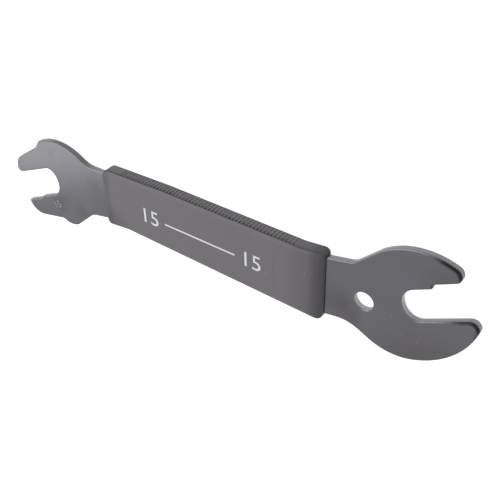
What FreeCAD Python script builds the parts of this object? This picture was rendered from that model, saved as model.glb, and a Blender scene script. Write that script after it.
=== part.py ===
import FreeCAD, Part
import math
import os
from types import SimpleNamespace

import Sketcher

# Pedal wrench: a flat steel plate with an open jaw at each end and a moulded sleeve round its shank.
# The origin is the centre of the hang hole, halfway through the plate. X runs along the tool towards
# the large head, Y across the tool, Z out of the broad face. Lengths are in mm, angles in degrees.
# Every outline runs counter-clockwise, so the material is always on its left.

VALUES = {
    # the steel plate
    "plate_thickness": 3.0,
    "plate_rim_bevel": 0.35,
    "hang_hole_diameter": 9.0,
    # where the small head lies, seen from the hang hole
    "small_head_along": 172.5,
    "small_head_across": 11.25,
    # the shank, hidden in the sleeve
    "shank_top_tilt": 1.8,
    "shank_top_distance": 14.04,
    "shank_bottom_tilt": 0.8,
    "shank_bottom_distance": 17.85,
    "shank_bend_round": 30.0,
    # large head: its neck from where it leaves the shank, and its round belly and crown
    "large_neck_bottom_tilt": 10.4,
    "large_neck_bottom_start": 24.5,
    "large_neck_bottom_round": 17.6,
    "large_heel_tilt": 27.1,
    "large_heel_flat": 5.55,
    "large_heel_round": 26.0,
    "large_belly_along": 8.75,
    "large_belly_drop": 5.4,
    "large_belly_radius": 42.9,
    "large_crown_along": 26.65,
    "large_crown_rise": 22.64,
    "large_crown_radius": 32.6,
    "large_shoulder_round": 20.0,
    "large_flank_tilt": 44.3,
    "large_flank_flat": 0.1,
    "large_flank_round": 7.3,
    "large_neck_top_tilt": 13.0,
    "large_neck_top_start": 25.28,
    # large head: the open jaw
    "large_jaw_angle": 28.0,
    "large_jaw_distance": 10.35,
    "large_throat_distance": 18.35,
    "large_jaw_opening": 15.0,
    "large_mouth_step": 2.0,
    "large_step_tilt": 60.0,
    "large_step_distance": 7.2,
    "large_step_round": 1.5,
    "large_throat_lower_round": 6.0,
    "large_throat_upper_round": 8.0,
    "large_lower_tip_round": 3.4,
    "large_upper_tip_round": 3.8,
    # small head: its round back, and the other edges, each by its angle and its distance from the
    # head's centre
    "small_back_height": 27.0,
    "small_back_radius": 27.0,
    "small_neck_top_round": 11.6,
    "small_notch_angle": 239.0,
    "small_notch_flat": 3.25,
    "small_notch_tip_round": 0.8,
    "small_notch_foot_round": 3.0,
    "small_cheek_angle": 216.8,
    "small_cheek_distance": 24.85,
    "small_cheek_round": 8.8,
    "small_nose_angle": 271.1,
    "small_nose_distance": 33.1,
    "small_nose_round": 2.2,
    "small_tip_angle": 288.9,
    "small_tip_distance": 32.8,
    "small_tip_round": 0.6,
    "small_chin_angle": 13.6,
    "small_chin_distance": 18.55,
    "small_chin_round": 7.9,
    "small_lobe_angle": 335.6,
    "small_lobe_distance": 19.9,
    "small_lobe_hollow_round": 3.0,
    "small_lobe_round": 8.9,
    "small_rise_angle": 43.7,
    "small_rise_distance": 18.75,
    "small_rise_round": 8.8,
    "small_neck_bottom_tilt": 12.2,
    "small_neck_bottom_start": 35.79,
    # small head: the open jaw
    "small_jaw_angle": 25.5,
    "small_jaw_distance": 12.25,
    "small_throat_distance": 2.1,
    "small_jaw_opening": 15.0,
    "small_mouth_step": 1.0,
    "small_step_tilt": 50.0,
    "small_step_distance": 5.05,
    "small_step_round": 1.0,
    "small_throat_upper_round": 5.0,
    "small_throat_lower_round": 9.0,
    # the sleeve, with a flare at each end and a slope along the small end of its top edge
    "sleeve_cover": 2.1,
    "sleeve_slant_width": 2.2,
    "sleeve_slant_drop": 0.75,
    "sleeve_edge_round": 0.7,
    "sleeve_clearance": 0.05,
    "sleeve_right_end": 18.8,
    "sleeve_left_end": 30.1,
    "sleeve_bottom_tilt": 1.5,
    "sleeve_bottom_distance": 20.8,
    "sleeve_bottom_flare_tilt": 7.0,
    "sleeve_bottom_flare_length": 13.17,
    "sleeve_top_tilt": 0.45,
    "sleeve_top_distance": 15.85,
    "sleeve_top_flare_tilt": 7.5,
    "sleeve_top_flare_length": 12.45,
    "sleeve_top_slope_tilt": 2.5,
    "sleeve_top_slope_length": 37.58,
    "sleeve_flare_round": 20.0,
    "sleeve_slope_round": 60.0,
    "sleeve_bottom_right_round": 4.0,
    "sleeve_top_left_round": 5.0,
    "sleeve_top_right_inner_round": 0.3,
    "sleeve_bottom_left_inner_round": 0.15,
    # the grip grooves across both narrow edges of the sleeve
    "groove_pitch": 1.85,
    "groove_width": 0.7,
    "groove_depth": 0.45,
    "groove_end_margin": 0.05,
    "groove_top_right_margin": 15.2,
    "groove_top_left_margin": 11.4,
    "groove_bottom_right_margin": 9.2,
    "groove_bottom_left_margin": 13.4,
}

doc = FreeCAD.newDocument("PedalWrench")
sheet = doc.addObject("Spreadsheet::Sheet", "Sizes")
for row, (name, value) in enumerate(VALUES.items(), start=1):
    sheet.set(f"A{row}", name)
    sheet.set(f"B{row}", str(value))
    sheet.setAlias(f"B{row}", name)
doc.recompute()


class Size:
    """A number together with the formula that gives it from the sheet's cells."""

    def __init__(self, number, formula):
        self.number = number
        self.formula = formula

    def __add__(self, other):
        other = as_size(other)
        return Size(self.number + other.number, f"({self.formula} + {other.formula})")

    def __sub__(self, other):
        other = as_size(other)
        return Size(self.number - other.number, f"({self.formula} - {other.formula})")

    def __rsub__(self, other):
        return as_size(other) - self

    def __neg__(self):
        return Size(-self.number, f"(-{self.formula})")

    def __mul__(self, other):
        other = as_size(other)
        return Size(self.number * other.number, f"({self.formula} * {other.formula})")

    def __truediv__(self, other):
        other = as_size(other)
        return Size(self.number / other.number, f"({self.formula} / {other.formula})")

    def tangent(self):
        """The tangent of an angle."""
        return Size(math.tan(math.radians(self.number)), f"tan({self.formula} * 1 deg)")

    def cosine(self):
        """The cosine of an angle."""
        return Size(math.cos(math.radians(self.number)), f"cos({self.formula} * 1 deg)")

    __radd__ = __add__
    __rmul__ = __mul__


def as_size(value):
    """Let a plain number stand where a size is expected."""
    return value if isinstance(value, Size) else Size(float(value), repr(float(value)))


def least(first, second):
    """The smaller of two sizes, for a rounding that its wall limits."""
    first = as_size(first)
    second = as_size(second)
    return Size(min(first.number, second.number), f"min({first.formula}; {second.formula})")


def whole(value):
    """The whole number of steps that fit."""
    return Size(math.floor(value.number), f"floor({value.formula})")


size = SimpleNamespace(**{name: Size(value, f"Sizes.{name}") for name, value in VALUES.items()})


class Anchor:
    """A point that sides are measured from, given by its place or as the crossing of two sides."""

    def __init__(self, along=0, across=0, crossing=None):
        self.along = as_size(along)
        self.across = as_size(across)
        self.crossing = crossing

    def point(self):
        if self.crossing:
            return meeting_point(self.crossing[0], self.crossing[1], 0)
        return (self.along.number, self.across.number)


HANG_HOLE = Anchor()
SMALL_HEAD = Anchor(-size.small_head_along, -size.small_head_across)
BACK_CENTRE = Anchor(
    -size.small_head_along,
    size.small_back_height - size.small_back_radius - size.small_head_across)
BELLY_CENTRE = Anchor(
    size.large_belly_along,
    size.large_belly_radius - size.large_belly_drop - size.shank_bottom_distance)
CROWN_CENTRE = Anchor(
    size.large_crown_along,
    size.shank_top_distance + size.large_crown_rise - size.large_crown_radius)


class Straight:
    """A straight side: its direction, and how far on its left the anchor lies."""

    def __init__(self, direction, inset, anchor=HANG_HOLE):
        self.direction = as_size(direction)
        self.inset = as_size(inset)
        self.anchor = anchor

    def heading(self):
        angle = math.radians(self.direction.number)
        return (math.cos(angle), math.sin(angle))

    def left(self):
        along, across = self.heading()
        return (-across, along)

    def foot_of(self, point):
        """The point of the side nearest to the given one."""
        normal = self.left()
        anchor = self.anchor.point()
        away = (point[0] - anchor[0]) * normal[0] + (point[1] - anchor[1]) * normal[1]
        away += self.inset.number
        return (point[0] - away * normal[0], point[1] - away * normal[1])


def place_on(edge, along):
    """The point of a long edge that lies that far along the tool."""
    return Anchor(along, along * edge.direction.tangent() - edge.inset / edge.direction.cosine())


class Bow:
    """A side that bows outwards round its anchor."""

    def __init__(self, radius, anchor):
        self.radius = as_size(radius)
        self.anchor = anchor

    def centre(self):
        return self.anchor.point()

    def foot_of(self, point):
        """The point of the bow in line with its centre and the given point."""
        x, y = self.centre()
        reach = math.hypot(point[0] - x, point[1] - y)
        share = self.radius.number / reach
        return (x + (point[0] - x) * share, y + (point[1] - y) * share)


def meeting_point(first, second, radius, near_start=False):
    """Centre of the arc of that radius that blends two sides (radius 0: where they cross)."""
    if isinstance(first, Bow) or isinstance(second, Bow):
        bow, side = (first, second) if isinstance(first, Bow) else (second, first)
        x, y = bow.centre()
        normal = side.left()
        heading = side.heading()
        foot = side.foot_of((x, y))
        foot = (foot[0] + radius * normal[0], foot[1] + radius * normal[1])
        away = math.hypot(foot[0] - x, foot[1] - y)
        half_chord = math.sqrt((bow.radius.number - radius) ** 2 - away ** 2)
        if near_start:
            half_chord = -half_chord
        return (foot[0] + half_chord * heading[0], foot[1] + half_chord * heading[1])
    rows = []
    for side in (first, second):
        normal = side.left()
        anchor = side.anchor.point()
        level = anchor[0] * normal[0] + anchor[1] * normal[1] - side.inset.number + radius
        rows.append((normal[0], normal[1], level))
    (a, b, c), (d, e, f) = rows
    spread = a * e - b * d
    return ((c * e - b * f) / spread, (a * f - c * d) / spread)


class Corner:
    """What joins two sides: a round corner, a hollow one or, with no radius, a sharp one."""

    def __init__(self, radius=0, hollow=False, near_start=False):
        self.radius = as_size(radius)
        self.hollow = hollow
        self.near_start = near_start

    def centre(self, first, second):
        radius = -self.radius.number if self.hollow else self.radius.number
        return meeting_point(first, second, radius, self.near_start)


def rounded(radius, near_start=False):
    return Corner(radius, False, near_start)


def hollowed(radius, near_start=False):
    return Corner(radius, True, near_start)


def arc_between(centre, radius, start, end, clockwise=False):
    """The arc round a centre from start to end, for a sketch that knows only one turning way."""
    if clockwise:
        start, end = end, start
    first = math.atan2(start[1] - centre[1], start[0] - centre[0])
    last = math.atan2(end[1] - centre[1], end[0] - centre[0])
    if last < first:
        last += 2 * math.pi
    circle = Part.Circle(FreeCAD.Vector(centre[0], centre[1], 0), FreeCAD.Vector(0, 0, 1), radius)
    return Part.ArcOfCircle(circle, first, last)


def draw_outline(sketch, chain):
    """Draw a closed chain of sides and the corners that follow them, held by the sheet's sizes."""
    sides = chain[0::2]
    corners = chain[1::2]
    count = len(sides)
    centres = [corners[i].centre(sides[i], sides[(i + 1) % count]) for i in range(count)]
    shapes = []
    limits = []
    formulas = {}

    def limit(*constraint):
        limits.append(Sketcher.Constraint(*constraint))

    def hold(value, *constraint):
        """Add a constraint whose value follows the sheet."""
        number = math.radians(value.number) if constraint[0] == "Angle" else value.number
        if "Sizes." in value.formula:
            formulas[len(limits)] = value.formula
        limit(*constraint, number)

    for i, side in enumerate(sides):
        start = side.foot_of(centres[i - 1])
        end = side.foot_of(centres[i])
        if isinstance(side, Bow):
            shapes.append(arc_between(side.centre(), side.radius.number, start, end))
        else:
            shapes.append(Part.LineSegment(FreeCAD.Vector(*start, 0), FreeCAD.Vector(*end, 0)))

    for i, corner in enumerate(corners):
        following = (i + 1) % count
        if corner.radius.number == 0:
            limit("Coincident", i, 2, following, 1)
            continue
        start = sides[i].foot_of(centres[i])
        end = sides[following].foot_of(centres[i])
        arc = len(shapes)
        shapes.append(arc_between(centres[i], corner.radius.number, start, end, corner.hollow))
        enter, leave = (2, 1) if corner.hollow else (1, 2)
        limit("Tangent", i, 2, arc, enter)
        limit("Tangent", arc, leave, following, 1)
        hold(corner.radius, "Radius", arc)
    sketch.addGeometry(shapes, False)

    marks = {HANG_HOLE: (-1, 1)}
    for anchor in [side.anchor for side in sides]:
        if anchor in marks:
            continue
        point = len(shapes)
        shapes.append(Part.Point(FreeCAD.Vector(*anchor.point(), 0)))
        sketch.addGeometry(shapes[point], True)
        marks[anchor] = (point, 1)
        if anchor.crossing:
            for side in anchor.crossing:
                limit("PointOnObject", point, 1, sides.index(side))
        else:
            hold(anchor.along, "DistanceX", -1, 1, point, 1)
            hold(anchor.across, "DistanceY", -1, 1, point, 1)

    for edge, side in enumerate(sides):
        mark = marks[side.anchor]
        if isinstance(side, Bow):
            hold(side.radius, "Radius", edge)
            limit("Coincident", edge, 3, *mark)
        else:
            hold(side.direction, "Angle", edge)
            if side.inset.number == 0:
                limit("PointOnObject", *mark, edge)
            else:
                hold(side.inset if side.inset.number > 0 else -side.inset, "Distance", *mark, edge)

    sketch.addConstraint(limits)
    for index, formula in formulas.items():
        sketch.setExpression(f"Constraints[{index}]", formula)


def shank_edges(clearance):
    """The four edges that the sleeve grips, pushed outwards by a clearance."""
    bottom = Straight(360 - size.shank_bottom_tilt, size.shank_bottom_distance)
    top = Straight(180 + size.shank_top_tilt, size.shank_top_distance)
    small_bend = place_on(bottom, size.small_neck_bottom_start - size.small_head_along)
    large_bottom_bend = place_on(bottom, -size.large_neck_bottom_start)
    large_top_bend = place_on(top, -size.large_neck_top_start)
    return SimpleNamespace(
        small_bottom=Straight(size.small_neck_bottom_tilt, clearance, small_bend),
        bottom=Straight(bottom.direction, bottom.inset + clearance),
        large_bottom=Straight(size.large_neck_bottom_tilt, clearance, large_bottom_bend),
        large_top=Straight(180 + size.large_neck_top_tilt, clearance, large_top_bend),
        top=Straight(top.direction, top.inset + clearance),
        hollow_bend=hollowed(size.shank_bend_round - clearance),
        round_bend=rounded(size.shank_bend_round + clearance),
    )


def large_head():
    """From the heel of the large head round its open jaw to the flank."""
    angle = size.large_jaw_angle
    lower_jaw = Straight(180 + angle, -size.large_jaw_distance)
    throat = Straight(90 + angle, size.large_throat_distance)
    jaw_corner = Anchor(crossing=(lower_jaw, throat))
    mouth = size.large_jaw_opening + size.large_mouth_step
    step_round = least(size.large_step_round, size.large_mouth_step * 0.75)
    return [
        Straight(360 - size.large_heel_tilt, size.large_belly_radius - size.large_heel_flat,
                 BELLY_CENTRE),
        rounded(size.large_heel_round),
        Bow(size.large_belly_radius, BELLY_CENTRE),
        rounded(size.large_lower_tip_round, near_start=True),
        lower_jaw,
        hollowed(least(size.large_throat_lower_round, size.large_jaw_opening * 0.42)),
        throat,
        hollowed(least(size.large_throat_upper_round, size.large_jaw_opening * 0.55)),
        Straight(angle, -size.large_jaw_opening, jaw_corner),
        rounded(step_round),
        Straight(angle + size.large_step_tilt, size.large_step_distance, jaw_corner),
        hollowed(step_round),
        Straight(angle, -mouth, jaw_corner),
        rounded(size.large_upper_tip_round),
        Bow(size.large_crown_radius, CROWN_CENTRE),
        rounded(size.large_shoulder_round, near_start=True),
        Straight(180 + size.large_flank_tilt, size.large_crown_radius - size.large_flank_flat,
                 CROWN_CENTRE),
    ]


def small_head():
    """From the round back of the small head round its open jaw to the rise of the neck."""
    angle = size.small_jaw_angle
    upper_jaw = Straight(angle, -size.small_jaw_distance, SMALL_HEAD)
    throat = Straight(270 + angle, size.small_throat_distance, SMALL_HEAD)
    jaw_corner = Anchor(crossing=(upper_jaw, throat))
    mouth = size.small_jaw_opening + size.small_mouth_step
    step_round = least(size.small_step_round, size.small_mouth_step)
    return [
        Bow(size.small_back_radius, BACK_CENTRE),
        rounded(size.small_notch_tip_round, near_start=True),
        Straight(size.small_notch_angle, size.small_back_radius - size.small_notch_flat,
                 BACK_CENTRE),
        hollowed(size.small_notch_foot_round),
        Straight(size.small_cheek_angle, size.small_cheek_distance, SMALL_HEAD),
        rounded(size.small_cheek_round),
        Straight(size.small_nose_angle, size.small_nose_distance, SMALL_HEAD),
        rounded(size.small_nose_round),
        upper_jaw,
        hollowed(least(size.small_throat_upper_round, size.small_jaw_opening * 0.35)),
        throat,
        hollowed(least(size.small_throat_lower_round, size.small_jaw_opening * 0.62)),
        Straight(180 + angle, -size.small_jaw_opening, jaw_corner),
        rounded(step_round),
        Straight(180 + angle + size.small_step_tilt, size.small_step_distance, jaw_corner),
        hollowed(step_round),
        Straight(180 + angle, -mouth, jaw_corner),
        rounded(size.small_tip_round),
        Straight(size.small_tip_angle, size.small_tip_distance, SMALL_HEAD),
        rounded(size.small_chin_round),
        Straight(size.small_chin_angle, size.small_chin_distance, SMALL_HEAD),
        hollowed(size.small_lobe_hollow_round),
        Straight(size.small_lobe_angle, size.small_lobe_distance, SMALL_HEAD),
        rounded(size.small_lobe_round),
        Straight(size.small_rise_angle, size.small_rise_distance, SMALL_HEAD),
    ]


def new_body(name):
    body = doc.addObject("PartDesign::Body", name)
    body.Label = name
    body.Placement = FreeCAD.Placement()
    return body


def new_sketch(body, name):
    """An empty sketch on the middle plane of the plate."""
    plane = next(item for item in body.Origin.OriginFeatures if item.Role == "XY_Plane")
    sketch = body.newObject("Sketcher::SketchObject", name)
    sketch.AttachmentSupport = [(plane, "")]
    sketch.MapMode = "FlatFace"
    return sketch


def add_pad(body, sketch, name, thickness):
    """Thicken an outline equally to both sides of its plane."""
    pad = body.newObject("PartDesign::Pad", name)
    pad.Profile = sketch
    pad.SideType = "Symmetric"
    pad.setExpression("Length", thickness.formula)
    doc.recompute()
    return pad


def add_pocket(body, sketch, name, depth=None):
    """Cut an outline out to both sides of its plane, right through if no depth is given."""
    before = body.Shape.Volume
    pocket = body.newObject("PartDesign::Pocket", name)
    pocket.Profile = sketch
    pocket.SideType = "Symmetric"
    if depth is None:
        pocket.Type = "ThroughAll"
    else:
        pocket.setExpression("Length", depth.formula)
    doc.recompute()
    if not body.Shape.Volume < before:
        raise RuntimeError(f"{name} cuts nothing")
    return pocket


def broad_faces(base):
    """The names of the two broad faces, whose edges get rounded or bevelled."""
    names = []
    for index, face in enumerate(base.Shape.Faces, start=1):
        if isinstance(face.Surface, Part.Plane) and abs(face.normalAt(0, 0).z) > 0.99:
            names.append(f"Face{index}")
    return (base, names)


def edges_at(base, height):
    """The names of the edges that lie that far before or behind the middle plane."""
    names = []
    for index, edge in enumerate(base.Shape.Edges, start=1):
        if all(abs(abs(vertex.Z) - height.number) < 0.001 for vertex in edge.Vertexes):
            names.append(f"Edge{index}")
    return (base, names)


def build_plate():
    """One stamped plate with a jaw at each end, its hang hole and its rounded rims."""
    body = new_body("steel_blank")
    outline = new_sketch(body, "PlateOutline")
    shank = shank_edges(0)
    draw_outline(outline, [
        shank.small_bottom, shank.hollow_bend,
        shank.bottom, shank.round_bend,
        shank.large_bottom, hollowed(size.large_neck_bottom_round),
        *large_head(), hollowed(size.large_flank_round),
        shank.large_top, shank.hollow_bend,
        shank.top, hollowed(size.small_neck_top_round, near_start=True),
        *small_head(), hollowed(size.small_rise_round),
    ])
    add_pad(body, outline, "PlateThickness", size.plate_thickness)

    hole = new_sketch(body, "HangHoleOutline")
    radius = size.hang_hole_diameter.number / 2
    circle = Part.Circle(FreeCAD.Vector(0, 0, 0), FreeCAD.Vector(0, 0, 1), radius)
    hole.addGeometry(circle, False)
    hole.addConstraint(Sketcher.Constraint("Coincident", 0, 3, -1, 1))
    hole.addConstraint(Sketcher.Constraint("Diameter", 0, size.hang_hole_diameter.number))
    hole.setExpression("Constraints[1]", size.hang_hole_diameter.formula)
    drilled = add_pocket(body, hole, "HangHole")

    rims = body.newObject("PartDesign::Chamfer", "BevelledRims")
    rims.Base = broad_faces(drilled)
    rims.setExpression("Size", least(size.plate_rim_bevel, size.plate_thickness * 0.4).formula)
    doc.recompute()
    return body


def cut_grooves(body, name, edge, length, first, count, reversed_run=False):
    """Cut evenly spaced grooves across one edge of the sleeve, the first at a place along it."""
    half = size.groove_width / 2
    sketch = new_sketch(body, name + "Outline")
    draw_outline(sketch, [
        Straight(edge.direction, edge.inset + size.groove_depth, edge.anchor), Corner(),
        Straight(edge.direction + 90, first + half, edge.anchor), Corner(),
        Straight(edge.direction + 180, size.groove_depth - edge.inset, edge.anchor), Corner(),
        Straight(edge.direction + 270, half - first, edge.anchor), Corner(),
    ])
    pocket = add_pocket(body, sketch, name, length)
    before = body.Shape.Volume
    pattern = body.newObject("PartDesign::LinearPattern", name + "Row")
    pattern.Originals = [pocket]
    pattern.Direction = (sketch, ["Edge1"])
    pattern.Reversed = reversed_run
    pattern.Mode = "Spacing"
    pattern.setExpression("Offset", size.groove_pitch.formula)
    pattern.setExpression("Occurrences", count.formula)
    body.Tip = pattern
    doc.recompute()
    if not body.Shape.Volume < before:
        raise RuntimeError(f"{name}Row cuts nothing")


def build_sleeve():
    """The grip moulded round the shank, with its grooves for the fingers."""
    body = new_body("handle_sleeve")
    left_limit = size.small_head_along - size.sleeve_left_end
    slope_start = left_limit - size.sleeve_top_slope_length
    bottom = Straight(360 - size.sleeve_bottom_tilt, size.sleeve_bottom_distance)
    top = Straight(180 + size.sleeve_top_tilt, size.sleeve_top_distance)
    slope = Straight(180 + size.sleeve_top_slope_tilt, 0, place_on(top, -slope_start))
    left_flare = place_on(bottom, size.sleeve_bottom_flare_length - left_limit)
    right_flare = place_on(top, -(size.sleeve_right_end + size.sleeve_top_flare_length))
    outline = new_sketch(body, "SleeveOutline")
    draw_outline(outline, [
        Straight(size.sleeve_bottom_flare_tilt, 0, left_flare),
        hollowed(size.sleeve_flare_round),
        bottom,
        rounded(size.sleeve_bottom_right_round),
        Straight(90, -size.sleeve_right_end),
        rounded(size.sleeve_slant_width + size.sleeve_top_right_inner_round),
        Straight(180 + size.sleeve_top_flare_tilt, 0, right_flare),
        hollowed(size.sleeve_flare_round),
        top,
        rounded(size.sleeve_slope_round),
        slope,
        rounded(size.sleeve_top_left_round),
        Straight(270, -size.sleeve_left_end, SMALL_HEAD),
        rounded(size.sleeve_slant_width + size.sleeve_bottom_left_inner_round),
    ])
    thickness = size.plate_thickness + 2 * size.sleeve_cover
    pad = add_pad(body, outline, "SleeveThickness", thickness)
    slant = body.newObject("PartDesign::Chamfer", "SlantedEdges")
    slant.Base = broad_faces(pad)
    slant.ChamferType = "Two distances"
    slant.setExpression("Size", size.sleeve_slant_drop.formula)
    slant.setExpression("Size2", size.sleeve_slant_width.formula)
    doc.recompute()
    rounding = body.newObject("PartDesign::Fillet", "RoundedEdges")
    rounding.Base = edges_at(slant, thickness / 2 - size.sleeve_slant_drop)
    rounding.setExpression("Radius", size.sleeve_edge_round.formula)
    doc.recompute()

    spare = size.shank_bend_round
    shank = shank_edges(size.sleeve_clearance)
    cavity = new_sketch(body, "ShankCavityOutline")
    draw_outline(cavity, [
        shank.small_bottom, shank.hollow_bend,
        shank.bottom, shank.round_bend,
        shank.large_bottom, Corner(),
        Straight(90, spare - size.sleeve_right_end), Corner(),
        shank.large_top, shank.hollow_bend,
        shank.top, Corner(),
        Straight(270, spare - size.sleeve_left_end, SMALL_HEAD), Corner(),
    ])
    add_pocket(body, cavity, "ShankCavity", size.plate_thickness + 2 * size.sleeve_clearance)

    pitch = size.groove_pitch
    top_first = size.sleeve_right_end + size.groove_top_right_margin
    top_count = 1 + whole((slope_start - top_first) / pitch)
    slope_first = top_first + top_count * pitch - slope_start
    slope_run = size.sleeve_top_slope_length - size.groove_top_left_margin
    slope_count = 1 + whole((slope_run - slope_first) / pitch)
    bottom_first = size.sleeve_right_end + size.groove_bottom_right_margin
    bottom_run = left_limit - size.groove_bottom_left_margin - bottom_first
    length = thickness - 2 * size.sleeve_slant_drop - 2 * size.groove_end_margin
    cut_grooves(body, "TopGroove", top, length, top_first, top_count)
    cut_grooves(body, "SlopeGroove", slope, length, slope_first, slope_count)
    cut_grooves(body, "BottomGroove", bottom, length, -bottom_first, 1 + whole(bottom_run / pitch),
                reversed_run=True)
    return body


bodies = [build_plate(), build_sleeve()]
doc.recompute()

for item in doc.Objects:
    if "Invalid" in item.State or "Error" in item.State:
        raise RuntimeError(f"{item.Name} failed: {item.State}")

os.makedirs("parts", exist_ok=True)
for body in bodies:
    shape = body.Shape
    if shape.isNull() or not shape.isValid() or len(shape.Solids) != 1:
        raise RuntimeError(f"{body.Label} isn't one sound solid")
    box = shape.BoundBox
    print(body.Label, "volume", round(shape.Volume, 1), "box", [round(v, 2) for v in (
        box.XMin, box.XMax, box.YMin, box.YMax, box.ZMin, box.ZMax)])
    shape.exportStep(f"parts/{body.Label}.step")
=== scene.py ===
from math import radians
import bmesh
import bpy
from mathutils import Euler, Matrix, Vector


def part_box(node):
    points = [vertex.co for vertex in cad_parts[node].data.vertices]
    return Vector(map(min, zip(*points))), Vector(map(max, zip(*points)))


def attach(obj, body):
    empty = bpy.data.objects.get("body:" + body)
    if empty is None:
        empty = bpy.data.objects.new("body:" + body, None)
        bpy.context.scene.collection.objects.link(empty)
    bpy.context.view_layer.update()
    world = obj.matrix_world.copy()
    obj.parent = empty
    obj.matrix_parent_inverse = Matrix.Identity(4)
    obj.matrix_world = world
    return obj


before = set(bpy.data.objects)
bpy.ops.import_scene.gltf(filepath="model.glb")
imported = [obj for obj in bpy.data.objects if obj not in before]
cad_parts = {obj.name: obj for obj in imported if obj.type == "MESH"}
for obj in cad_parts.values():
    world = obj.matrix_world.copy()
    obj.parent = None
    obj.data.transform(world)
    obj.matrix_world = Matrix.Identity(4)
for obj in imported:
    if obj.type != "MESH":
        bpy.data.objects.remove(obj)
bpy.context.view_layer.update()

# The tool lies flat on a white floor, as it comes to rest when it is put down. The camera looks
# down on it at 39 degrees, past its large head and one long edge, and is held upside down, so that
# this edge with its finger grooves is at the top of the picture.
camera_data = bpy.data.cameras.new("camera")
camera_data.sensor_width = 36.0
camera_data.lens = 68.08
camera_data.clip_start = 0.01
camera = bpy.data.objects.new("camera", camera_data)
camera.location = (0.134041, 0.261879, 0.262036)
camera.rotation_euler = Euler((-0.691847, 0.618297, -0.023149), "XYZ")
bpy.context.collection.objects.link(camera)
bpy.context.scene.camera = camera
bpy.context.scene.view_settings.view_transform = "Standard"


# The studio is a pale room with an even light. One grey panel hangs high over the long edge that
# faces the camera, and the steel's rounded rims mirror it.
room_tone, panel_tone = (0.566, 0.560, 0.582), (0.200, 0.195, 0.200)
panel_middle = Vector((-0.19, 0.45, 0.87)).normalized()
panel_begins, panel_full = 0.88, 0.96           # likeness to the direction of its middle


def add_node(tree, kind, inputs=None, **settings):
    """A new node with its settings, whose named inputs get a value or another node's output."""
    node = tree.nodes.new("ShaderNode" + kind)
    for name, value in settings.items():
        setattr(node, name, value)
    for name, value in (inputs or {}).items():
        if isinstance(value, bpy.types.NodeSocket):
            tree.links.new(value, node.inputs[name])
        else:
            node.inputs[name].default_value = value
    return node


def likeness(tree, direction, other):
    """How alike two directions are: 1 where they are the same, 0 where they are square."""
    node = add_node(tree, "VectorMath", {0: direction, 1: other}, operation="DOT_PRODUCT")
    return node.outputs["Value"]


def ramp(tree, value, start, end, low=0.0, high=1.0, smooth=False):
    """Goes from low to high while the value goes from start to end, and stays there."""
    node = add_node(tree, "MapRange", {"Value": value, "From Min": start, "From Max": end,
                                       "To Min": low, "To Max": high},
                    interpolation_type="SMOOTHSTEP" if smooth else "LINEAR")
    return node.outputs["Result"]


def blended(tree, mask, below, above):
    """The colour that a mask takes from one to another, each a tone or a node's output."""
    inputs = {"Factor": mask}
    for socket, colour in (("A", below), ("B", above)):
        inputs[socket] = (*colour, 1.0) if isinstance(colour, tuple) else colour
    return add_node(tree, "Mix", inputs, data_type="RGBA").outputs["Result"]


world = bpy.data.worlds.new("studio")
bpy.context.scene.world = world
world.use_nodes = True
sky = world.node_tree
sky.nodes.clear()
outwards = add_node(sky, "TexCoord").outputs["Generated"]
panel = ramp(sky, likeness(sky, outwards, panel_middle), panel_begins, panel_full, smooth=True)
sky_light = add_node(sky, "Background", {"Color": blended(sky, panel, room_tone, panel_tone)})
add_node(sky, "OutputWorld", {"Surface": sky_light.outputs["Background"]})


# The main lamp hangs high beyond the small head and lights the whole tool. A small soft box stands
# low on the same side, where the small head mirrors it. A third lamp brightens the long edge that
# faces the camera, and the steel doesn't mirror it.
def soft_box(name, place, aim, width, height, power, level=(1.0, 0.0, 0.0)):
    """A rectangular lamp that shines from its place to its aim, its width along the level."""
    back = (Vector(place) - Vector(aim)).normalized()
    side = (Vector(level) - Vector(level).dot(back) * back).normalized()
    rows = Matrix((side, back.cross(side), back))
    lamp_data = bpy.data.lights.new(name, "AREA")
    lamp_data.shape = "RECTANGLE"
    lamp_data.size = width
    lamp_data.size_y = height
    lamp_data.energy = power
    lamp = bpy.data.objects.new(name, lamp_data)
    lamp.matrix_world = Matrix.Translation(place) @ rows.transposed().to_4x4()
    bpy.context.collection.objects.link(lamp)
    return lamp


sleeve_middle = (-0.10, 0.0, 0.0)
soft_box("lamp_over", place=(-0.44, 0.22, 0.58), aim=sleeve_middle,
         width=0.70, height=0.70, power=1.8)
soft_box("lamp_low", place=(-0.3555, -0.0785, 0.1555), aim=(-0.1945, 0.1405, -0.0635),
         width=0.156, height=0.135, power=0.054, level=(0.8146, -0.0189, 0.5796))
side_lamp = soft_box("lamp_side", place=(-0.16, 0.55, 0.16), aim=sleeve_middle,
                     width=0.50, height=0.20, power=0.45)
side_lamp.visible_glossy = False


# The floor is plain white and runs out as far as the eye sees. It shows as white where nothing
# shades it, to the camera and in the metal, and it keeps the tool's shadow.
floor_reach = 40.0
floor_paint = (0.60, 0.60, 0.60, 1.0)
floor_glow = 0.88


def reckon(tree, operation, *values):
    """The outcome of one step of arithmetic with values or nodes' outputs."""
    node = add_node(tree, "Math", dict(enumerate(values)), operation=operation)
    return node.outputs["Value"]


def product(tree, value, *shares):
    """A value or mask multiplied with each of the shares or masks."""
    for share in shares:
        value = reckon(tree, "MULTIPLY", value, share)
    return value


def new_mesh(name, shape):
    """The finished mesh of a bmesh."""
    mesh = bpy.data.meshes.new(name)
    shape.to_mesh(mesh)
    shape.free()
    return mesh


def new_object(name, mesh, material):
    """An object at the origin with its mesh and material."""
    made = bpy.data.objects.new(name, mesh)
    bpy.context.collection.objects.link(made)
    made.data.materials.append(material)
    return made


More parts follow.
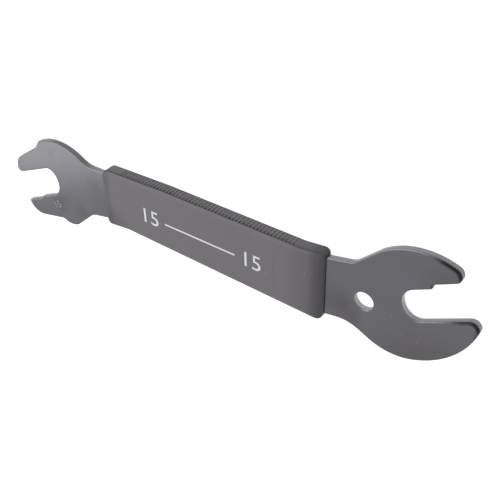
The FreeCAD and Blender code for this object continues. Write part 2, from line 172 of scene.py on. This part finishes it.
floor_white = bpy.data.materials.new("floor_white")
floor_white.use_nodes = True
tree = floor_white.node_tree
tree.nodes.clear()
rays = add_node(tree, "LightPath").outputs
paint = add_node(tree, "BsdfDiffuse", {"Color": floor_paint})
glow = add_node(tree, "Emission", {"Strength": product(tree, rays["Is Camera Ray"], floor_glow)})
painted = add_node(tree, "AddShader", {0: paint.outputs["BSDF"], 1: glow.outputs["Emission"]})
mirrored = reckon(tree, "MAXIMUM", rays["Is Glossy Ray"], rays["Is Transmission Ray"])
white = add_node(tree, "Emission", {"Strength": 1.0})
lit_floor = add_node(tree, "MixShader", {"Fac": mirrored, 1: painted.outputs["Shader"],
                                         2: white.outputs["Emission"]})
add_node(tree, "OutputMaterial", {"Surface": lit_floor.outputs["Shader"]})
sleeve_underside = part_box("handle_sleeve")[0].z
floor_shape = bmesh.new()
bmesh.ops.create_grid(floor_shape, x_segments=1, y_segments=1, size=floor_reach)
bmesh.ops.translate(floor_shape, vec=(0.0, 0.0, sleeve_underside), verts=floor_shape.verts)
floor = new_object("floor", new_mesh("floor", floor_shape), floor_white)


# The steel plate is stamped from 3 mm sheet, tumbled and given a black oxide finish: a dark,
# faintly violet satin metal with cloudy smudges and a fine grain. Its cut walls are partly paler,
# and its rims are roundest round the crown of the large head, where a painted dark reflection
# blackens them. Painted shade darkens the lower parts of both heads.
plate_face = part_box("steel_blank")[1].z
# how far off the middle of the sheet its cut walls end and its rims begin, and are full
wall_ends, wall_full = plate_face - 0.00001, plate_face - 0.00015
rim_begins, rim_full = plate_face - 0.00037, plate_face - 0.00024
# the side that the crown's rims face where they carry a painted dark reflection
dark_mirror_side = (0.6, 0.8, 0.0)
oxide_dark, oxide_light = (0.231, 0.228, 0.243), (0.267, 0.264, 0.281)
# the second tone below also paints shade on the lower parts of the heads
oxide_grain, stain_and_shade_brown = (0.180, 0.177, 0.190), (0.172, 0.160, 0.152)
wall_pale, wall_brown = (0.50, 0.49, 0.53), (0.105, 0.094, 0.090)
# the first tone below is the painted dark reflection on the crown's rims
painted_dark_reflection, steel_fleck = (0.024, 0.021, 0.019), (0.50, 0.49, 0.51)
steel_dust, steel_worn = (0.44, 0.43, 0.45), (0.42, 0.41, 0.43)
# each stain's middle, reach and share, and the toned walls' tone as well. The last stain and the
# two at -0.0215 across the small head are painted shade on the lower parts of the heads.
stains_and_shade = (((-0.0125, -0.0060), 0.0120, 0.60), ((-0.0060, -0.0105), 0.0090, 0.45),
          ((0.0345, 0.0260), 0.0150, 0.45), ((-0.1500, 0.0005), 0.0070, 0.35),
          ((-0.1775, 0.0085), 0.0050, 0.35), ((-0.1780, -0.0215), 0.0100, 0.60),
          ((-0.1605, -0.0215), 0.0080, 0.40), ((0.0320, -0.0290), 0.0420, 0.75))
toned_walls = (((0.0, 0.0), 0.0100, 0.6, wall_pale), ((0.0205, 0.0090), 0.0090, 0.6, wall_pale),
               ((-0.1700, 0.0190), 0.0150, 0.8, wall_brown),
               ((-0.1580, 0.0100), 0.0130, 0.8, wall_brown))
steel_flecks = ((0.0129, -0.0013), (0.0178, -0.0094), (0.0256, -0.0097))


def new_mask_group(name, **inputs):
    """An empty node group that makes a mask, with its inputs' sockets and the mask's socket."""
    group = bpy.data.node_groups.new(name, "ShaderNodeTree")
    for socket, kind in inputs.items():
        group.interface.new_socket(socket, in_out="INPUT", socket_type="NodeSocket" + kind)
    group.interface.new_socket("Mask", in_out="OUTPUT", socket_type="NodeSocketFloat")
    enter, leave = group.nodes.new("NodeGroupInput"), group.nodes.new("NodeGroupOutput")
    return group, enter.outputs, leave.inputs["Mask"]


def mask_of(tree, group, **values):
    """The mask that a node group makes in a material with these values."""
    return add_node(tree, "Group", values, node_tree=group).outputs["Mask"]


def noise(tree, place, scale, detail):
    """An even noise from 0 to 1."""
    node = add_node(tree, "TexNoise", {"Vector": place, "Scale": scale, "Detail": detail})
    return node.outputs["Fac"]


def toned(tree, colour, mask, share, tone):
    """A colour that a mask takes to a tone by a share."""
    return blended(tree, product(tree, mask, share), colour, tone)


def new_material(name):
    """A material with its tree, its shader and its place on the piece."""
    material = bpy.data.materials.new(name)
    material.use_nodes = True
    tree = material.node_tree
    place = add_node(tree, "TexCoord").outputs["Object"]
    return material, tree, tree.nodes["Principled BSDF"], place


def set_surface(tree, shader, colour, roughness, relief):
    """Gives a shader its colour, its roughness and the bumps that a Bump node's inputs say."""
    bumps = add_node(tree, "Bump", relief)
    tree.links.new(colour, shader.inputs["Base Color"])
    tree.links.new(roughness, shader.inputs["Roughness"])
    tree.links.new(bumps.outputs["Normal"], shader.inputs["Normal"])


def dress(node, material):
    """Gives a CAD piece its finish."""
    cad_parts[node].data.materials.clear()
    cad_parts[node].data.materials.append(material)


# sharp edges: where the surface bends sharply, broken up along the edge. They are worn on the
# steel, and worn with a painted highlight on the grip.
sharp_edges, enter, mask = new_mask_group("sharp_edges", Place="Vector", Width="Float", Breaks="Float")
rounded = add_node(sharp_edges, "Bevel", {"Radius": enter["Width"]}, samples=6).outputs["Normal"]
plain = add_node(sharp_edges, "NewGeometry").outputs["Normal"]
bend = ramp(sharp_edges, likeness(sharp_edges, rounded, plain), 0.995, 0.93)
broken = ramp(sharp_edges, noise(sharp_edges, enter["Place"], enter["Breaks"], detail=3.0), 0.36, 0.62)
sharp_edges.links.new(product(sharp_edges, bend, broken), mask)

# a soft round spot, such as a stain or a speck, whose outline strays by its raggedness
soft_spot, enter, mask = new_mask_group("soft_spot", Place="Vector", Centre="Vector",
                                        Reach="Float", Raggedness="Float")
apart = add_node(soft_spot, "VectorMath", {0: enter["Place"], 1: enter["Centre"]},
                 operation="DISTANCE").outputs["Value"]
ragged = noise(soft_spot, enter["Place"], scale=160.0, detail=4.0)
stray = reckon(soft_spot, "SUBTRACT", ragged, 0.5)
strayed = reckon(soft_spot, "MULTIPLY_ADD", stray, enter["Raggedness"], apart)
soft_spot.links.new(ramp(soft_spot, strayed, enter["Reach"], 0.0, smooth=True), mask)

# dust: a few tiny round specks, each in a chosen cell of a scattered pattern
dust, enter, mask = new_mask_group("dust", Place="Vector", Density="Float", Share="Float")
cells = add_node(dust, "TexVoronoi", {"Vector": enter["Place"], "Scale": enter["Density"]}).outputs
speck = ramp(dust, cells["Distance"], 0.10, 0.04)
lot = add_node(dust, "SeparateColor", {"Color": cells["Color"]}).outputs["Red"]
dust.links.new(product(dust, speck, reckon(dust, "LESS_THAN", lot, enter["Share"])), mask)

black_oxide, tree, steel, place = new_material("black_oxide_steel")
steel.inputs["Metallic"].default_value = 1.0
cloud = noise(tree, place, scale=55.0, detail=5.0)
grain = noise(tree, place, scale=2400.0, detail=2.0)
colour = blended(tree, cloud, oxide_dark, oxide_light)
colour = toned(tree, colour, grain, 0.16, oxide_grain)
# brown stains, painted shade on the lower parts of both heads, and small pale flecks
for (x, y), reach, share in stains_and_shade:
    mask = mask_of(tree, soft_spot, Place=place, Centre=(x, y, 0.0), Reach=reach, Raggedness=0.010)
    colour = toned(tree, colour, mask, share, stain_and_shade_brown)
for x, y in steel_flecks:
    mask = mask_of(tree, soft_spot, Place=place, Centre=(x, y, plate_face), Reach=0.0005)
    colour = toned(tree, colour, mask, 0.5, steel_fleck)
# the walls of the hang hole and of the large throat are paler, some of the small head's are brown
across = add_node(tree, "SeparateXYZ", {"Vector": place}).outputs["Z"]
off_middle = reckon(tree, "ABSOLUTE", across)
cut_wall = ramp(tree, off_middle, wall_ends, wall_full)
for (x, y), reach, share, tone in toned_walls:
    mask = mask_of(tree, soft_spot, Place=place, Centre=(x, y, 0.0), Reach=reach, Raggedness=0.004)
    colour = toned(tree, colour, product(tree, mask, cut_wall), share, tone)
# the tumbled rim of the crown and of the tip beside it is wide and round, and where it leans to one
# side it carries a painted dark reflection, nearly black
crown = mask_of(tree, soft_spot, Place=place, Centre=(0.0480, 0.0270, 0.0), Reach=0.0360)
tip = mask_of(tree, soft_spot, Place=place, Centre=(0.0492, 0.0118, 0.0), Reach=0.0044)
tumbled_and_dark_mirror = ramp(tree, reckon(tree, "MAXIMUM", crown, tip), 0.12, 0.5)
rim_width = ramp(tree, tumbled_and_dark_mirror, 0.0, 1.0, low=0.0008, high=0.0032)
rounded = add_node(tree, "Bevel", {"Radius": rim_width}, samples=12).outputs["Normal"]
facing_dark_mirror = ramp(tree, likeness(tree, rounded, dark_mirror_side), 0.03, 0.15)
rim = ramp(tree, off_middle, rim_begins, rim_full)
colour = toned(tree, colour, product(tree, facing_dark_mirror, rim, tumbled_and_dark_mirror), 0.96, painted_dark_reflection)
# dust and worn edges
specks = mask_of(tree, dust, Place=place, Density=230.0, Share=0.03)
colour = toned(tree, colour, specks, 0.30, steel_dust)
edge_mask = mask_of(tree, sharp_edges, Place=place, Width=0.0003, Breaks=420.0)
colour = toned(tree, colour, edge_mask, 0.35, steel_worn)
satin = ramp(tree, cloud, 0.3, 0.7, low=0.21, high=0.27)
set_surface(tree, steel, colour, satin,
            {"Height": grain, "Strength": 0.05, "Distance": 0.0002, "Normal": rounded})
dress("steel_blank", black_oxide)


# The sleeve is a dark grey plastic grip, moulded round the shank, with finger grooves in both long
# edges. Its skin is matt and finely mottled. Painted shade darkens a crease along the long edges,
# the grooves near the upper face and both ends, and its edges carry wear with a painted highlight.
sleeve_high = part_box("handle_sleeve")[1]
sleeve_end, sleeve_face = sleeve_high.x, sleeve_high.z
end_wall_begins, end_wall_full = sleeve_end - 0.00010, sleeve_end - 0.00002
long_edge_begins, long_edge_full = sleeve_end - 0.0012, sleeve_end - 0.0027
grip_dark, grip_light = (0.194, 0.187, 0.194), (0.222, 0.214, 0.222)
grip_grain, end_wall_unshaded = (0.110, 0.106, 0.110), (0.190, 0.184, 0.190)
# the first tone paints shade at the ends and darkens the marks, the second paints a crease's shade
# and darkens the long edges towards the face, the third paints shade in the grooves
shade_and_mark_dark, edge_dark_tone, groove_shade_dark = (0.060, 0.057, 0.061), (0.050, 0.047, 0.050), (0.040, 0.037, 0.040)
lint_pale = (0.34, 0.33, 0.34)
# the last tone below lightens the edges as wear and painted highlight
grip_fleck, grip_dust, grip_wear_and_highlight = (0.42, 0.41, 0.42), (0.30, 0.29, 0.30), (0.27, 0.26, 0.27)
# where a stretch of painted shade at an end of the sleeve begins and is darkest, and its share
shaded_ends = ((-0.0400, -0.0280, 0.25), (-0.0280, -0.0215, 0.68), (-0.1365, -0.1405, 0.38))
grip_flecks = ((-0.1248, 0.0137), (-0.0277, 0.0038), (-0.0480, -0.0060))
# the height at which the painted shade of a crease runs
crease_shade_height = 0.00275
witness_along, witness_across = -0.0433, -0.0020


def gap_to(tree, value, level):
    """How far a value lies from a level, on either side."""
    return reckon(tree, "ABSOLUTE", reckon(tree, "SUBTRACT", value, level))


moulded_grip, tree, grip, place = new_material("moulded_grip")
grip.inputs["Specular IOR Level"].default_value = 0.35
cloud = noise(tree, place, scale=140.0, detail=5.0)
grain = noise(tree, place, scale=1800.0, detail=3.0)
colour = blended(tree, cloud, grip_dark, grip_light)
colour = toned(tree, colour, grain, 0.18, grip_grain)
# painted shade darkens both ends; the flat end wall by the large head is kept out of it
at = add_node(tree, "SeparateXYZ", {"Vector": place}).outputs
for start, end, share in shaded_ends:
    end_shade = ramp(tree, at["X"], start, end, smooth=True)
    colour = toned(tree, colour, end_shade, share, shade_and_mark_dark)
end_wall = ramp(tree, at["X"], end_wall_begins, end_wall_full)
colour = toned(tree, colour, end_wall, 0.8, end_wall_unshaded)
# painted shade of a crease runs along the long edges, just under each face
height = reckon(tree, "ABSOLUTE", at["Z"])
painted_crease_shade = ramp(tree, gap_to(tree, height, crease_shade_height), 0.00032, 0.0001)
long_edge = ramp(tree, at["X"], long_edge_begins, long_edge_full)
colour = toned(tree, colour, product(tree, painted_crease_shade, long_edge), 0.72, edge_dark_tone)
# the upper half of the long edges is darker towards the upper face
darker_to_face = ramp(tree, at["Z"], 0.0004, 0.0018, low=0.12, high=0.36)
under_face = ramp(tree, at["Z"], 0.0030, 0.0027)
colour = blended(tree, product(tree, darker_to_face, under_face, long_edge), colour, edge_dark_tone)
# painted shade darkens the grooves near the upper face, and pale lint lies in them below it
shade = add_node(tree, "AmbientOcclusion", {"Distance": 0.0009}, samples=8).outputs["AO"]
near_face = ramp(tree, at["Z"], 0.0008, 0.0022, low=0.0, high=0.95)
painted_groove_shade = product(tree, ramp(tree, shade, 0.97, 0.72), near_face, long_edge)
colour = blended(tree, painted_groove_shade, colour, groove_shade_dark)
deep = ramp(tree, at["Z"], 0.0022, 0.0008, low=0.0, high=0.80)
lint = product(tree, ramp(tree, shade, 0.95, 0.60), deep, long_edge)
colour = blended(tree, lint, colour, lint_pale)
# a faint witness line crosses the broad face by the large head
witness = ramp(tree, gap_to(tree, at["X"], witness_along), 0.0004, 0.0001)
witness_reach = ramp(tree, gap_to(tree, at["Y"], witness_across), 0.0090, 0.0075)
colour = toned(tree, colour, product(tree, witness, witness_reach), 0.26, shade_and_mark_dark)
# a smudge by the small head and small pale flecks, on the printed face
smudge = mask_of(tree, soft_spot, Place=place, Centre=(-0.1375, -0.0150, sleeve_face),
                 Reach=0.0120, Raggedness=0.006)
colour = toned(tree, colour, smudge, 0.35, shade_and_mark_dark)
for x, y in grip_flecks:
    mask = mask_of(tree, soft_spot, Place=place, Centre=(x, y, sleeve_face), Reach=0.0005)
    colour = toned(tree, colour, mask, 0.6, grip_fleck)
# dust, and worn edges with a painted highlight
specks = mask_of(tree, dust, Place=place, Density=180.0, Share=0.03)
colour = toned(tree, colour, specks, 0.25, grip_dust)
edge_mask = mask_of(tree, sharp_edges, Place=place, Width=0.0005, Breaks=260.0)
colour = toned(tree, colour, edge_mask, 0.30, grip_wear_and_highlight)
matt = ramp(tree, cloud, 0.3, 0.7, low=0.52, high=0.62)
set_surface(tree, grip, colour, matt, {"Height": grain, "Strength": 0.12, "Distance": 0.0002})
dress("handle_sleeve", moulded_grip)


# The print on the sleeve's broad face is a thin coat of white ink: the size of the jaw at each end,
# with a plain rule between them. A quarter of its thickness lies in the face.
ink_thickness = 0.00002
ink_level = sleeve_face + ink_thickness / 4
ink_white, ink_thin = (0.90, 0.90, 0.90), (0.60, 0.59, 0.60)
printed_height = 0.0082
print_line = -0.0033
number_places = (-0.1135, -0.0555)
rule_middle, rule_length, rule_width = -0.0845, 0.0400, 0.0009


def flat_number(name, text, height, thickness):
    """A mesh of plain figures, centred on the origin, with that much ink or metal."""
    figure_share = 0.70
    figures = bpy.data.curves.new(name, "FONT")
    figures.body = text
    figures.size = height / figure_share
    figures.extrude = thickness / 2
    figures.align_x = "CENTER"
    figures.align_y = "CENTER"
    figures.resolution_u = 6
    drawn = bpy.data.objects.new(name, figures)
    bpy.context.collection.objects.link(drawn)
    bpy.context.view_layer.update()
    mesh = bpy.data.meshes.new_from_object(drawn)
    bpy.data.objects.remove(drawn)
    bpy.data.curves.remove(figures)
    return mesh


white_ink, tree, ink, place = new_material("white_ink")
coat = noise(tree, place, scale=700.0, detail=4.0)
colour = toned(tree, ink_white, ramp(tree, coat, 0.55, 0.80), 0.5, ink_thin)
dry = ramp(tree, coat, 0.0, 1.0, low=0.45, high=0.60)
set_surface(tree, ink, colour, dry, {"Height": coat, "Strength": 0.05, "Distance": 0.0001})
print_shape = bmesh.new()
for number_place in number_places:
    figures = flat_number("figures", "15", printed_height, ink_thickness)
    figures.transform(Matrix.Translation((number_place, print_line, ink_level)))
    print_shape.from_mesh(figures)
    bpy.data.meshes.remove(figures)
rule = bmesh.ops.create_cube(print_shape, size=1.0)["verts"]
bmesh.ops.scale(print_shape, vec=(rule_length, rule_width, ink_thickness), verts=rule)
bmesh.ops.translate(print_shape, vec=(rule_middle, print_line, ink_level), verts=rule)
bmesh.ops.recalc_face_normals(print_shape, faces=print_shape.faces)
sleeve_print = new_object("sleeve_print", new_mesh("sleeve_print", print_shape), white_ink)
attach(sleeve_print, "root")


# The jaw's size is stamped into the small head beside its opening. The stamp broke the black
# finish, so the figures show as thin strokes of paler steel.
stamped_height, stroke_thickness = 0.0040, 0.00002
stamp_place = (-0.1796, -0.0238, plate_face + stroke_thickness / 4)
stamp_turn = radians(25.5)
stroke_dark, stroke_light = (0.30, 0.295, 0.31), (0.52, 0.51, 0.53)
stamped_steel, tree, stroke, place = new_material("stamped_steel")
stroke.inputs["Metallic"].default_value = 1.0
patches = noise(tree, place, scale=900.0, detail=4.0)
colour = blended(tree, patches, stroke_dark, stroke_light)
dull = ramp(tree, patches, 0.0, 1.0, low=0.30, high=0.45)
set_surface(tree, stroke, colour, dull, {"Height": patches, "Strength": 0.2, "Distance": 0.0001})
stamp_mesh = flat_number("stamped_size", "15", stamped_height, stroke_thickness)
stamp_mesh.transform(Matrix.Translation(stamp_place) @ Matrix.Rotation(stamp_turn, 4, "Z"))
stamped_size = new_object("stamped_size", stamp_mesh, stamped_steel)
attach(stamped_size, "root")
